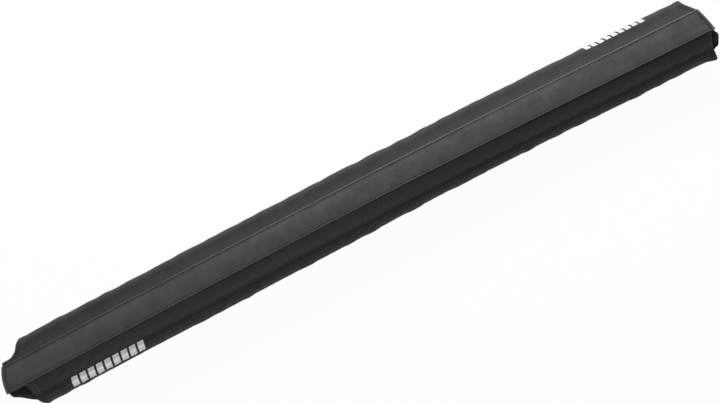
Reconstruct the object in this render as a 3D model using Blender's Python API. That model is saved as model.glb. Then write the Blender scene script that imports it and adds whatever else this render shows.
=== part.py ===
"""Padded cover for one crossbar of a roof rack.

A bar of closed cell foam lies in a sewn cover. A smooth coated panel with a pinched rim runs along the top. A woven
flap hangs from each long side of it, turns round the lower corner and closes under the crossbar with a strip of hook
and a strip of loop tape. The crossbar goes through the channel between the pocket that holds the foam and the flaps.

The pad lies along X with its front towards -Y. Z is up, and the floor is at zero. All sizes are in metres.
"""

import math

import bmesh
import bpy
from mathutils import Vector

# The whole pad
PAD_LENGTH = 0.762
PAD_WIDTH = 0.0668
PAD_HEIGHT = 0.030
SIDE_BOW = 0.0036  # how far the middle of a pad that lies free stands behind its ends
CLEARANCE = 0.0003  # between two layers that lie on each other

# The top panel and the pinched seam round it
PANEL_WIDTH = 0.0247
PANEL_FABRIC = 0.0012
RIM_WIDTH = 0.0026
RIM_HEIGHT = 0.0010
RIM_EDGE = 0.0005
SEAM_SINK = 0.0003
END_CROWN = 0.0010
FRONT_CORNER_REACH = 0.0042  # the panel's front corners lie this far past the pad's length at each end
BACK_CORNER_REACH = 0.0012  # and its back corners this far

# The two flaps. An end edge stands back from the pad's end by one inset at the seam and another at the side
FLAP_FABRIC = 0.0012
SHOULDER_SLOPE = math.radians(11.0)
UPPER_RADIUS = 0.0085
LOWER_RADIUS = 0.0120
LEFT_SEAM_INSET = 0.0120
LEFT_SIDE_INSET = 0.0205
RIGHT_SEAM_INSET = -0.0010
RIGHT_SIDE_INSET = 0.0087
FLAP_EDGE_RUN = 0.0200  # way round the section over which the end edge sweeps back
CORNER_FLARE = 0.0060  # the lower right corner of the front flap stands out from its swept edge by this much
FLARE_WAY = 0.0345  # way round the section at which it stands out most
FLARE_REACH = 0.0065
HEM_WIDTH = 0.0060
HEM_RISE = 0.0005
HEM_EDGE = 0.0006

# The closure under the crossbar
STRIP_WIDTH = 0.020
HOOK_THICKNESS = 0.0010
LOOP_THICKNESS = 0.0010
STRIP_MARGIN = 0.0060  # from a flap's end to the end of its strip
LAP_MARGIN = 0.0008  # fabric beyond the long edge of a strip
LAP_STEP_GAP = 0.0015  # from the lower flap's long edge to the step in the upper flap

# The foam and the pocket round it
FOAM_THICKNESS = 0.0127
FOAM_LOWER_RADIUS = 0.0030
BASE_FABRIC = 0.0010
CAP_FABRIC = 0.0010
CAP_DEPTH = 0.0340
POCKET_TAPERS = {  # for each side and end: half width of the pocket's end, and the length over which it narrows
    (-1, -1): (0.0172, 0.0260),
    (1, -1): (0.0180, 0.0330),
    (-1, 1): (0.0270, 0.0200),
    (1, 1): (0.0145, 0.0220),
}
END_CORNER_RADIUS = 0.0030
LEAST_RADIUS = 0.0007  # no corner of the pocket is sharper
END_BULGE = 0.0045

# Resolution of the surfaces
LENGTH_STEPS = 24
FLAP_ARC_STEPS = 7
POCKET_ARC_STEPS = 5
TAPER_STEPS = 6
PANEL_STEPS = 3

HALF_LENGTH = PAD_LENGTH / 2
HALF_WIDTH = PAD_WIDTH / 2
HALF_PANEL = PANEL_WIDTH / 2
FOAM_TOP = PAD_HEIGHT - PANEL_FABRIC - CLEARANCE
FOAM_BOTTOM = FOAM_TOP - FOAM_THICKNESS
BASE_TOP = FOAM_BOTTOM - CLEARANCE
FOAM_SIDE = HALF_WIDTH - FLAP_FABRIC - CLEARANCE
HOOK_BOTTOM = FLAP_FABRIC + CLEARANCE
LOOP_BOTTOM = HOOK_BOTTOM + HOOK_THICKNESS + CLEARANCE
LAP_RISE = LOOP_BOTTOM + LOOP_THICKNESS + CLEARANCE
LAP_HALF = STRIP_WIDTH / 2 + LAP_MARGIN


def remove_old_objects():
    for old in list(bpy.data.objects):
        bpy.data.objects.remove(old)


def make_material(name, colour, roughness):
    material = bpy.data.materials.new(name)
    material.use_nodes = True
    surface = material.node_tree.nodes["Principled BSDF"]
    surface.inputs["Base Color"].default_value = (*colour, 1.0)
    surface.inputs["Roughness"].default_value = roughness
    surface.inputs["Metallic"].default_value = 0.0
    return material


def on_bow(x, y, z):
    """A point of the pad, moved sideways as the soft pad lies: the middle a little behind the two ends."""
    along = x / HALF_LENGTH
    return Vector((x, y + SIDE_BOW * (0.5 - along * along), z))


def add_object(name, shape, material):
    """Turn a finished bmesh into an object of its own, with every face pointing out."""
    bmesh.ops.recalc_face_normals(shape, faces=shape.faces)
    mesh = bpy.data.meshes.new(name)
    shape.to_mesh(mesh)
    shape.free()
    mesh.shade_smooth()
    mesh.set_sharp_from_angle(angle=math.radians(35.0))
    mesh.materials.append(material)
    piece = bpy.data.objects.new(name, mesh)
    bpy.context.scene.collection.objects.link(piece)
    return piece


def add_layer(name, outer, inner, material):
    """A sheet with a thickness: two grids of points of the same size, joined round their borders."""
    shape = bmesh.new()
    top = [[shape.verts.new(point) for point in row] for row in outer]
    under = [[shape.verts.new(point) for point in row] for row in inner]
    rows = len(top)
    columns = len(top[0])
    for i in range(rows - 1):
        for j in range(columns - 1):
            shape.faces.new((top[i][j], top[i][j + 1], top[i + 1][j + 1], top[i + 1][j]))
            shape.faces.new((under[i][j], under[i + 1][j], under[i + 1][j + 1], under[i][j + 1]))
    for i in range(rows - 1):
        for j in (0, columns - 1):
            shape.faces.new((top[i][j], top[i + 1][j], under[i + 1][j], under[i][j]))
    for j in range(columns - 1):
        for i in (0, rows - 1):
            shape.faces.new((top[i][j], under[i][j], under[i][j + 1], top[i][j + 1]))
    return add_object(name, shape, material)


def add_loft(name, rings, material):
    """A body through a row of closed rings with the same number of points, with a flat face on each end ring."""
    shape = bmesh.new()
    loops = [[shape.verts.new(point) for point in ring] for ring in rings]
    count = len(loops[0])
    for near, far in zip(loops, loops[1:]):
        for k in range(count):
            after = (k + 1) % count
            shape.faces.new((near[k], near[after], far[after], far[k]))
    shape.faces.new(loops[0])
    shape.faces.new(loops[-1])
    return add_object(name, shape, material)


def even_stations(start, end):
    """Places along the pad, close enough together for a piece to follow the bow."""
    return [start + (end - start) * k / LENGTH_STEPS for k in range(LENGTH_STEPS + 1)]


def add_strip(name, outline, low, high, material):
    """A flat strip that follows the bow, from x and the widths in front and behind: a face, extruded upwards."""
    shape = bmesh.new()
    front = [shape.verts.new(on_bow(x, -ahead, low)) for x, ahead, behind in outline]
    back = [shape.verts.new(on_bow(x, behind, low)) for x, ahead, behind in reversed(outline)]
    face = shape.faces.new(front + back)
    raised = bmesh.ops.extrude_face_region(shape, geom=[face])
    lifted = [item for item in raised["geom"] if isinstance(item, bmesh.types.BMVert)]
    bmesh.ops.translate(shape, verts=lifted, vec=Vector((0.0, 0.0, high - low)))
    return add_object(name, shape, material)


def arc(centre_y, centre_z, radius, start, end, steps):
    """Points of a round corner in the section, with the angles measured from straight up towards +Y."""
    points = []
    for k in range(steps + 1):
        angle = start + (end - start) * k / steps
        points.append((centre_y + radius * math.sin(angle), centre_z + radius * math.cos(angle)))
    return points


def shoulder_height(y, level):
    """Height of the sloping shoulder of a section whose top lies at level."""
    return level - max(0.0, y - HALF_PANEL) * math.tan(SHOULDER_SLOPE)


def cover_section():
    """The outer face of a flap from the seam over the shoulder and round the side, down to the floor."""
    corner_y = HALF_WIDTH - UPPER_RADIUS
    tangent_y = corner_y + UPPER_RADIUS * math.sin(SHOULDER_SLOPE)
    corner_z = shoulder_height(tangent_y, PAD_HEIGHT) - UPPER_RADIUS * math.cos(SHOULDER_SLOPE)
    seam = HALF_PANEL + CLEARANCE
    points = [(seam, shoulder_height(seam, PAD_HEIGHT))]
    points += [((seam + tangent_y) / 2, shoulder_height((seam + tangent_y) / 2, PAD_HEIGHT))]
    points += arc(corner_y, corner_z, UPPER_RADIUS, SHOULDER_SLOPE, math.pi / 2, FLAP_ARC_STEPS)
    foot_y = HALF_WIDTH - LOWER_RADIUS
    points += arc(foot_y, LOWER_RADIUS, LOWER_RADIUS, math.pi / 2, math.pi, FLAP_ARC_STEPS)
    return points


def lower_flap_section():
    """The flap that lies on the floor and carries the hook tape on its upper face."""
    return cover_section() + [(0.0, 0.0), (-LAP_HALF, 0.0)]


def upper_flap_section():
    """The flap that steps up over the edge of the other one and carries the loop tape under it."""
    foot = cover_section()
    step_top = LAP_HALF + LAP_STEP_GAP
    return foot + [(step_top, LAP_RISE), (0.0, LAP_RISE), (-LAP_HALF, LAP_RISE)]


def outward_normals(points):
    """Mitred normals of an open section line that runs from the top outwards and down."""
    sides = []
    for (y0, z0), (y1, z1) in zip(points, points[1:]):
        length = math.hypot(y1 - y0, z1 - z0)
        sides.append((-(z1 - z0) / length, (y1 - y0) / length))
    normals = [sides[0]]
    for (ay, az), (by, bz) in zip(sides, sides[1:]):
        scale = 1.0 / (1.0 + ay * by + az * bz)
        normals.append(((ay + by) * scale, (az + bz) * scale))
    normals.append(sides[-1])
    return normals


def flap_end_inset(side, end, way):
    """How far a flap's end edge stands back from the pad's end, after a given way round the section."""
    seam_inset = RIGHT_SEAM_INSET if end > 0 else LEFT_SEAM_INSET
    side_inset = RIGHT_SIDE_INSET if end > 0 else LEFT_SIDE_INSET
    share = min(1.0, way / FLAP_EDGE_RUN)
    inset = seam_inset + (side_inset - seam_inset) * math.sin(share * math.pi / 2)
    if side < 0 and end > 0:
        inset -= CORNER_FLARE * math.exp(-(((way - FLARE_WAY) / FLARE_REACH) ** 2))
    return inset


def add_flap(name, section, side, material):
    """Sweep a flap's section along the pad, with the end edges swept back and hemmed."""
    normals = outward_normals(section)
    way = 0.0
    ways = [way]
    for (y0, z0), (y1, z1) in zip(section, section[1:]):
        way += math.hypot(y1 - y0, z1 - z0)
        ways.append(way)

    hem_stations = [(0.0, 0.0), (HEM_EDGE, HEM_RISE), (HEM_WIDTH - HEM_EDGE, HEM_RISE), (HEM_WIDTH, 0.0)]
    stations = [(0.0, offset, rise) for offset, rise in hem_stations]
    stations += [(k / LENGTH_STEPS, HEM_WIDTH, 0.0) for k in range(1, LENGTH_STEPS)]
    stations += [(1.0, offset, rise) for offset, rise in reversed(hem_stations)]

    outer = []
    inner = []
    for share, offset, rise in stations:
        outer_row = []
        inner_row = []
        for (y, z), (ny, nz), way in zip(section, normals, ways):
            left = -HALF_LENGTH + flap_end_inset(side, -1, way) + offset
            right = HALF_LENGTH - flap_end_inset(side, 1, way) - offset
            x = left + (right - left) * share
            lift = rise * min(1.0, max(0.0, z) / LOWER_RADIUS)
            if y < HALF_WIDTH - LOWER_RADIUS and z < PAD_HEIGHT / 2:
                lift = 0.0
            outer_row.append(on_bow(x, side * (y + ny * lift), z + nz * lift))
            inner_row.append(on_bow(x, side * (y - ny * FLAP_FABRIC), z - nz * FLAP_FABRIC))
        outer.append(outer_row)
        inner.append(inner_row)
    return add_layer(name, outer, inner, material)


def rim_height(distance):
    """Height of the top panel's face at a distance from its nearest edge: rim, stitched groove, then flat."""
    profile = [
        (0.0, 0.0),
        (RIM_EDGE, RIM_HEIGHT),
        (RIM_WIDTH - RIM_EDGE, RIM_HEIGHT),
        (RIM_WIDTH, -SEAM_SINK),
        (RIM_WIDTH + RIM_EDGE, 0.0),
    ]
    for (d0, h0), (d1, h1) in zip(profile, profile[1:]):
        if distance <= d1:
            return h0 + (h1 - h0) * (distance - d0) / (d1 - d0)
    return 0.0


def add_top_panel(material):
    """The coated panel, with the pinched seam standing up as a rim along both sides and both ends."""
    edge_steps = [0.0, RIM_EDGE, RIM_WIDTH - RIM_EDGE, RIM_WIDTH, RIM_WIDTH + RIM_EDGE]
    flat = RIM_WIDTH + RIM_EDGE
    across = [-HALF_PANEL + step for step in edge_steps]
    across += [(HALF_PANEL - flat) * (2.0 * k / PANEL_STEPS - 1.0) for k in range(1, PANEL_STEPS)]
    across += [HALF_PANEL - step for step in reversed(edge_steps)]
    along = [-HALF_LENGTH + step for step in edge_steps]
    along += [(HALF_LENGTH - flat) * (2.0 * k / LENGTH_STEPS - 1.0) for k in range(1, LENGTH_STEPS)]
    along += [HALF_LENGTH - step for step in reversed(edge_steps)]
    face = []
    under = []
    for x in along:
        face_row = []
        under_row = []
        for y in across:
            front = 0.5 - 0.5 * y / HALF_PANEL
            reach = FRONT_CORNER_REACH * front + BACK_CORNER_REACH * (1.0 - front)
            reach += END_CROWN * (1.0 - (y / HALF_PANEL) ** 2)
            distance = min(HALF_LENGTH - abs(x), HALF_PANEL - abs(y))
            place = x * (1.0 + reach / HALF_LENGTH)
            face_row.append(on_bow(place, y, PAD_HEIGHT + rim_height(distance)))
            under_row.append(on_bow(place, y, PAD_HEIGHT - PANEL_FABRIC))
        face.append(face_row)
        under.append(under_row)
    return add_layer("top_panel", face, under, material)


def taper(x, side):
    """Share of the full width that a corner of the pocket has gained at x: 0 at the end, 1 past the taper."""
    length = POCKET_TAPERS[(side, 1 if x > 0.0 else -1)][1]
    share = min(1.0, max(0.0, (HALF_LENGTH - abs(x)) / length))
    return math.sin(share * math.pi / 2)


def taper_places():
    """Distances from the pad's end at which the tapers are drawn, the farthest first."""
    longest = max(length for half, length in POCKET_TAPERS.values())
    return [longest * (1.0 - k / TAPER_STEPS) ** 1.5 for k in range(TAPER_STEPS)]


def pocket_half_width(x, side):
    end_half = POCKET_TAPERS[(side, 1 if x > 0.0 else -1)][0]
    return end_half + (FOAM_SIDE - end_half) * taper(x, side)


def pocket_ring(x, depth, station=None):
    """One closed section of the foam's pocket, shrunk by depth. A domed end keeps the section of its own station."""
    place = x if station is None else station
    top = FOAM_TOP - depth
    low = FOAM_BOTTOM + depth
    full_radius = UPPER_RADIUS - FLAP_FABRIC - CLEARANCE
    low_radius = max(FOAM_LOWER_RADIUS - depth, LEAST_RADIUS)
    halves = []
    for side in (1, -1):
        half = pocket_half_width(place, side) - depth
        radius = END_CORNER_RADIUS + (full_radius - END_CORNER_RADIUS) * taper(place, side)
        radius = max(radius - depth, LEAST_RADIUS)
        corner_y = half - radius
        tangent_y = corner_y + radius * math.sin(SHOULDER_SLOPE)
        shoulder_y = min(HALF_PANEL, tangent_y - LEAST_RADIUS)
        corner_z = shoulder_height(tangent_y, top) - radius * math.cos(SHOULDER_SLOPE)
        points = [(shoulder_y, top)]
        points += arc(corner_y, corner_z, radius, SHOULDER_SLOPE, math.pi / 2, POCKET_ARC_STEPS)
        points += arc(half - low_radius, low + low_radius, low_radius, math.pi / 2, math.pi, POCKET_ARC_STEPS)
        halves.append([(side * y, z) for y, z in points])
    back, front = halves
    return [on_bow(x, y, z) for y, z in back + front[::-1]]


def domed_end(sign, depth):
    """Rings that round off an end of the pocket: out by the bulge while the section shrinks."""
    rings = []
    for share in (1.0, 0.8, 0.4, 0.0):
        out = END_BULGE * math.sqrt(1.0 - share * share) - depth
        shrink = depth + END_CORNER_RADIUS * (1.0 - share)
        rings.append(pocket_ring(sign * (HALF_LENGTH + out), shrink, station=sign * HALF_LENGTH))
    return rings


def pocket_end(sign, depth, start):
    """Rings from start, a distance from the pad's end, through the taper to the domed end."""
    places = [start] + taper_places()
    rings = [pocket_ring(sign * (HALF_LENGTH - place), depth) for place in places if place > depth]
    return rings + domed_end(sign, depth)


def add_foam_core(material):
    """The foam bar, let in at both ends by the thickness of the end caps."""
    let_in = CAP_FABRIC + CLEARANCE
    start = CAP_DEPTH + CLEARANCE
    right_end = pocket_end(1.0, let_in, start)
    left_end = list(reversed(pocket_end(-1.0, let_in, start)))
    middle = [pocket_ring(x, 0.0) for x in even_stations(start - HALF_LENGTH, HALF_LENGTH - start)]
    return add_loft("foam_core", left_end + middle + right_end, material)


def add_pocket_base(material):
    """The lining under the foam, which rests on the crossbar. Its ends narrow as the foam does."""
    right_end = [HALF_LENGTH - place for place in taper_places()] + [HALF_LENGTH]
    left_end = [-x for x in reversed(right_end)]
    middle = even_stations(left_end[-1], right_end[0])[1:-1]
    outline = [(x, pocket_half_width(x, -1), pocket_half_width(x, 1)) for x in left_end + middle + right_end]
    return add_strip("pocket_base", outline, BASE_TOP - BASE_FABRIC, BASE_TOP, material)


def add_tape(name, low, thickness, material):
    """A strip of fastening tape, a little shorter than the flaps that carry it."""
    left = -HALF_LENGTH + LEFT_SIDE_INSET + STRIP_MARGIN
    right = HALF_LENGTH - RIGHT_SIDE_INSET - STRIP_MARGIN
    outline = [(x, STRIP_WIDTH / 2, STRIP_WIDTH / 2) for x in even_stations(left, right)]
    return add_strip(name, outline, low, low + thickness, material)


def add_end_cap(name, sign, material):
    """A cup of cloth sewn round an end of the foam. It shows between the panel's corner and the flaps."""
    outside = pocket_end(sign, 0.0, CAP_DEPTH)
    inside = pocket_end(sign, CAP_FABRIC, CAP_DEPTH)
    return add_loft(name, list(reversed(inside)) + outside, material)


def build_pad():
    coated = make_material("coated_fabric", (0.060, 0.060, 0.062), 0.42)
    woven = make_material("woven_polyester", (0.028, 0.028, 0.029), 0.80)
    lining = make_material("grip_lining", (0.020, 0.020, 0.021), 0.65)
    edging = make_material("end_cap_fabric", (0.010, 0.010, 0.011), 0.85)
    foam = make_material("closed_cell_foam", (0.035, 0.035, 0.036), 0.90)
    loop_tape = make_material("loop_tape", (0.022, 0.022, 0.023), 0.95)
    hook_tape = make_material("hook_tape", (0.018, 0.018, 0.019), 0.55)

    add_foam_core(foam)
    add_end_cap("left_end_cap", -1.0, edging)
    add_end_cap("right_end_cap", 1.0, edging)
    add_pocket_base(lining)
    add_top_panel(coated)
    add_flap("front_flap", lower_flap_section(), -1.0, woven)
    add_flap("back_flap", upper_flap_section(), 1.0, woven)
    add_tape("hook_strip", HOOK_BOTTOM, HOOK_THICKNESS, hook_tape)
    add_tape("loop_strip", LOOP_BOTTOM, LOOP_THICKNESS, loop_tape)


remove_old_objects()
build_pad()
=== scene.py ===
# %% [markdown]
# A padded cover for one crossbar of a roof rack, dressed in Blender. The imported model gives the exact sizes
# and places of the plain solids. This lesson covers them with sewn cloth: a smooth coated panel on top, two
# woven flaps that wrap round the foam, gathered cloth on the ends, tapes, thread and a plain reflective
# print.

# %% Load the fixed frame
import functools
import math

import bpy
import numpy as np
from mathutils import Matrix, Vector, noise


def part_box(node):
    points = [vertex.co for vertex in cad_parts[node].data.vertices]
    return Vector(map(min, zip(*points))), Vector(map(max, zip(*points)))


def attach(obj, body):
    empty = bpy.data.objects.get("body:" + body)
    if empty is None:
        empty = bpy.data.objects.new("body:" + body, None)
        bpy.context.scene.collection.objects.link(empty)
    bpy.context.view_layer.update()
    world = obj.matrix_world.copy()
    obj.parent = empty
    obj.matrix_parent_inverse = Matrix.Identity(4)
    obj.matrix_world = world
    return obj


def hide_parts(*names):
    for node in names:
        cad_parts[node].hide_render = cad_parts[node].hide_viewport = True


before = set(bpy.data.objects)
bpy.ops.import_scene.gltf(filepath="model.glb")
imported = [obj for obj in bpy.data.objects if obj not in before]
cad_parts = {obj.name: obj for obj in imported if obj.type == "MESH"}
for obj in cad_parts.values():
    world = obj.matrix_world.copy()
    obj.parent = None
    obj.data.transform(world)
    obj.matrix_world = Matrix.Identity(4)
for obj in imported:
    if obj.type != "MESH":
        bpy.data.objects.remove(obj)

bpy.ops.object.select_all(action="DESELECT")
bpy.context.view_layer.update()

# %% [markdown]
# Every cloth piece needs a few shared sizes. Most are read from the frame, so the cloth fits the solids
# without trying. The others are the sizes that a sewing pattern would give: fabric thickness, hem width and
# stitch length.

# %% Sizes of the pad, read from the frame or set as a pattern would
panel_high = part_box("top_panel")[1]
foam_low, foam_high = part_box("foam_core")
lining_low, lining_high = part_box("pocket_base")
hook_low, hook_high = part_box("hook_strip")
loop_low, loop_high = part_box("loop_strip")

HALF_LENGTH = (lining_high.x - lining_low.x) / 2
SOLID_RIM_RISE = 0.0010
PANEL_LEVEL = panel_high.z - SOLID_RIM_RISE
SIDE_BOW = 0.0036
SEAM_HALF = 0.01235
PANEL_HALF = {-1: 0.0130, 1: 0.0139}
HALF_WIDTH = 0.0334
FLAP_CLOTH = 0.0009
PANEL_CLOTH = 0.0005
print("half length", round(HALF_LENGTH, 4), "panel level", round(PANEL_LEVEL, 4))

# %% [markdown]
# Three small functions serve all over the lesson. One keeps a number between 0 and 1. One gives a smooth
# hump, for whatever is strong at one place and fades to both sides. The last draws a line through a few
# knots, such as the end edge of a flap, and softens its corners by taking the mean of five places that lie
# close together.

# %% Small functions for shares, humps and soft lines
def clamped(value):
    return min(1.0, max(0.0, value))


def hump(offset, width):
    """1 where there is no offset, 0.37 one width away and close to nothing at two."""
    return math.exp(-(offset / width) ** 2)


def softened(knots, place, spread):
    """Value at a place on the line through (place, value) knots, with corners rounded over the spread."""
    places, values = zip(*knots)
    shifts = (-spread, -spread / 2, 0.0, spread / 2, spread)
    return float(np.mean([np.interp(place + shift, places, values) for shift in shifts]))


print("a soft corner:", softened(((0.0, 0.0), (1.0, 1.0), (2.0, 0.0)), 1.0, 0.2))


# %% [markdown]
# A long soft pad never lies dead straight. Its middle stands a few millimetres behind its ends, and every
# piece has to follow that line, so one function gives the sideways shift at any place along the pad.

# %% The bow that all pieces follow
def bow(x):
    along = x / HALF_LENGTH
    return SIDE_BOW * (0.5 - along * along)


print("the middle stands", round((bow(0.0) - bow(HALF_LENGTH)) * 1000, 2), "mm behind the ends")

# %% [markdown]
# The camera stands about one metre away, steeply above the front of the pad, and leans so that the pad runs
# from the lower left of the picture to the upper right. It is placed by the point that it looks at and by
# its lean.

# %% The camera
CAMERA_PLACE = Vector((-0.04893, -0.28546, 0.98767))
CAMERA_AIM = Vector((-0.00378, -0.00527, 0.0300))
CAMERA_LEAN = math.radians(28.07)
CAMERA_LENS = 51.51
CAMERA_SENSOR = 36.0

bpy.ops.object.camera_add(location=CAMERA_PLACE)
camera = bpy.context.object
camera.name = "camera"
camera.data.sensor_width = CAMERA_SENSOR
camera.data.lens = CAMERA_LENS
sight = (CAMERA_AIM - CAMERA_PLACE).normalized()
sideways = sight.cross(Vector((0.0, 1.0, 0.0))).normalized()
upright = sideways.cross(sight)
camera_up = upright * math.cos(CAMERA_LEAN) + sideways * math.sin(CAMERA_LEAN)
camera_right = sight.cross(camera_up)
turn = Matrix((camera_right, camera_up, -sight)).transposed().to_4x4()
camera.matrix_world = Matrix.Translation(CAMERA_PLACE) @ turn
bpy.context.scene.camera = camera
print("camera distance", round((CAMERA_AIM - CAMERA_PLACE).length, 3), "m")

# %% [markdown]
# The light is a plain studio: a large soft box low behind the pad, which lights the top and the back and
# leaves the front in shade, and a faint one lower still in front. The floor and the world look white to the
# camera and in reflections, but throw little light themselves, so black cloth stays black.

# %% World, floor and lamps
LAMPS = (
    ("back_softbox", (0.50, 1.45, 0.71), (1.8, 0.5), 55.0),
    ("front_softbox", (-0.55, -1.25, 0.16), (1.4, 0.3), 4.8),
)
WORLD_LIGHT = 0.09
FLOOR_COLOUR = (0.90, 0.90, 0.90, 1.0)
FLOOR_SIZE = 12.0
FLOOR_GLOW = 0.97
FLOOR_DROP = 0.0004
WHITE = (1.0, 1.0, 1.0, 1.0)


def add_node(tree, kind, links=None, **settings):
    """Add a node, set its properties, and set or link its inputs by name or number."""
    made = tree.nodes.new(kind)
    for name, value in settings.items():
        setattr(made, name, value)
    for name, value in (links or {}).items():
        if isinstance(value, bpy.types.NodeSocket):
            tree.links.new(value, made.inputs[name])
        else:
            made.inputs[name].default_value = value
    return made


def math_node(tree, operation, first, second=0.0):
    """Output of a Math node whose inputs are numbers or sockets."""
    return add_node(tree, "ShaderNodeMath", {0: first, 1: second}, operation=operation).outputs[0]


def seen_directly(tree):
    """1 for a ray that shows the background itself or its reflection, 0 for a ray that carries light."""
    path = add_node(tree, "ShaderNodeLightPath")
    shown = math_node(tree, "MAXIMUM", path.outputs["Is Camera Ray"], path.outputs["Is Glossy Ray"])
    return math_node(tree, "MAXIMUM", shown, path.outputs["Is Transmission Ray"])


world = bpy.data.worlds.new("studio")
bpy.context.scene.world = world
world.use_nodes = True
world.node_tree.nodes.clear()
tree = world.node_tree
dim = add_node(tree, "ShaderNodeBackground", {"Color": WHITE, "Strength": WORLD_LIGHT})
white = add_node(tree, "ShaderNodeBackground", {"Color": WHITE, "Strength": 1.0})
direct_rays = seen_directly(tree)
choice = add_node(tree, "ShaderNodeMixShader", {0: direct_rays, 1: dim.outputs[0], 2: white.outputs[0]})
add_node(tree, "ShaderNodeOutputWorld", {"Surface": choice.outputs[0]})

bpy.ops.mesh.primitive_plane_add(size=FLOOR_SIZE, location=(0.0, 0.0, -FLOOR_DROP))
floor = bpy.context.object
floor.name = "floor"
floor_paint = bpy.data.materials.new("floor_paint")
floor_paint.use_nodes = True
tree = floor_paint.node_tree
tree.nodes.clear()
matt = add_node(tree, "ShaderNodeBsdfDiffuse", {"Color": FLOOR_COLOUR})
glow = add_node(tree, "ShaderNodeEmission", {"Color": WHITE, "Strength": 1.0})
glow_share = math_node(tree, "MULTIPLY", seen_directly(tree), FLOOR_GLOW)
mixed = add_node(tree, "ShaderNodeMixShader", {0: glow_share, 1: matt.outputs[0], 2: glow.outputs[0]})
add_node(tree, "ShaderNodeOutputMaterial", {"Surface": mixed.outputs[0]})
floor.data.materials.append(floor_paint)

for name, place, size, power in LAMPS:
    bpy.ops.object.light_add(type="AREA", location=place)
    lamp = bpy.context.object
    lamp.name = name
    lamp.data.shape = "RECTANGLE"
    lamp.data.size, lamp.data.size_y = size
    lamp.data.energy = power
    lamp.rotation_euler = (-Vector(place)).to_track_quat("-Z", "Y").to_euler()
    print(name, power, "W")
bpy.context.scene.view_settings.view_transform = "Standard"

# %% [markdown]
# Cloth patterns have to follow the cloth and not the room. Each cloth piece therefore carries a UV map in
# real metres, as on its flat cut, and the weave is drawn on that map. The weave and the mottling are node
# groups, because several fabrics use them with other sizes.

# %% Node groups for cloth
CROSSING_SHARE = 0.35
RIDGE_SHARE = 0.30
NOISE_GAIN = 4.0


def new_group(name, inputs, outputs):
    """Start a shader node group and return it with its input and output nodes."""
    group = bpy.data.node_groups.new(name, "ShaderNodeTree")
    for label, kind, value in inputs:
        socket = group.interface.new_socket(label, in_out="INPUT", socket_type=kind)
        if value is not None:
            socket.default_value = value
    for label, kind in outputs:
        group.interface.new_socket(label, in_out="OUTPUT", socket_type=kind)
    return group, group.nodes.new("NodeGroupInput"), group.nodes.new("NodeGroupOutput")


def make_weave_group():
    """Crossing threads: each one goes over and under the next, at a pitch given in metres."""
    group, given, result = new_group(
        "plain_weave",
        [("Vector", "NodeSocketVector", None), ("Pitch", "NodeSocketFloat", 0.0006)],
        [("Height", "NodeSocketFloat")],
    )
    flat = add_node(group, "ShaderNodeSeparateXYZ", {0: given.outputs["Vector"]})
    waves = []
    for axis in (0, 1):
        turns = math_node(group, "DIVIDE", flat.outputs[axis], given.outputs["Pitch"])
        waves.append(math_node(group, "SINE", math_node(group, "MULTIPLY", turns, math.pi)))
    crossing = math_node(group, "MULTIPLY", waves[0], waves[1])
    ridges = math_node(group, "ABSOLUTE", waves[0])
    height = math_node(group, "ADD", math_node(group, "MULTIPLY", crossing, CROSSING_SHARE), CROSSING_SHARE)
    height = math_node(group, "ADD", height, math_node(group, "MULTIPLY", ridges, RIDGE_SHARE))
    group.links.new(height, result.inputs["Height"])
    return group


def make_mottle_group():
    """Uneven yarn and dye: a slow change and a fine one, as a factor round one."""
    group, given, result = new_group(
        "mottle",
        [("Vector", "NodeSocketVector", None), ("Size", "NodeSocketFloat", 0.01),
         ("Amount", "NodeSocketFloat", 0.1)],
        [("Factor", "NodeSocketFloat")],
    )
    scaled = add_node(group, "ShaderNodeVectorMath", {0: given.outputs["Vector"]}, operation="SCALE")
    inverse = math_node(group, "DIVIDE", 1.0, given.outputs["Size"])
    group.links.new(inverse, scaled.inputs["Scale"])
    cloud = add_node(group, "ShaderNodeTexNoise",
                     {"Vector": scaled.outputs[0], "Scale": 1.0, "Detail": 4.0, "Roughness": 0.65})
    centred = math_node(group, "SUBTRACT", cloud.outputs[0], 0.5)
    swing = math_node(group, "MULTIPLY", centred, given.outputs["Amount"])
    factor = math_node(group, "ADD", math_node(group, "MULTIPLY", swing, NOISE_GAIN), 1.0)
    group.links.new(factor, result.inputs["Factor"])
    return group


weave_group = make_weave_group()
mottle_group = make_mottle_group()
print("node groups:", weave_group.name, mottle_group.name)


# %% [markdown]
# One function makes a fabric from these groups. The numbers that are the same all over a fabric, such as
# its sheen, go straight on the shader. Two attributes are painted on the cloth in code. One is a painted
# highlight: it lightens the colour on the panel's end rims, on the flaps' hems and over the front shoulder's
# bend, where the cloth should catch more light. The other, pressed, is painted shade: it darkens the colour
# along sewn lines and the panel's folded edge, where the thread pulls the cloth in.

# %% Fabric materials
# How much the pressed attribute darkens the colour, as painted shade along sewn lines and folded edges.
PAINTED_SHADE_STRENGTH = 0.85


def use_group(tree, group, links):
    return add_node(tree, "ShaderNodeGroup", links, node_tree=group)


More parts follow.
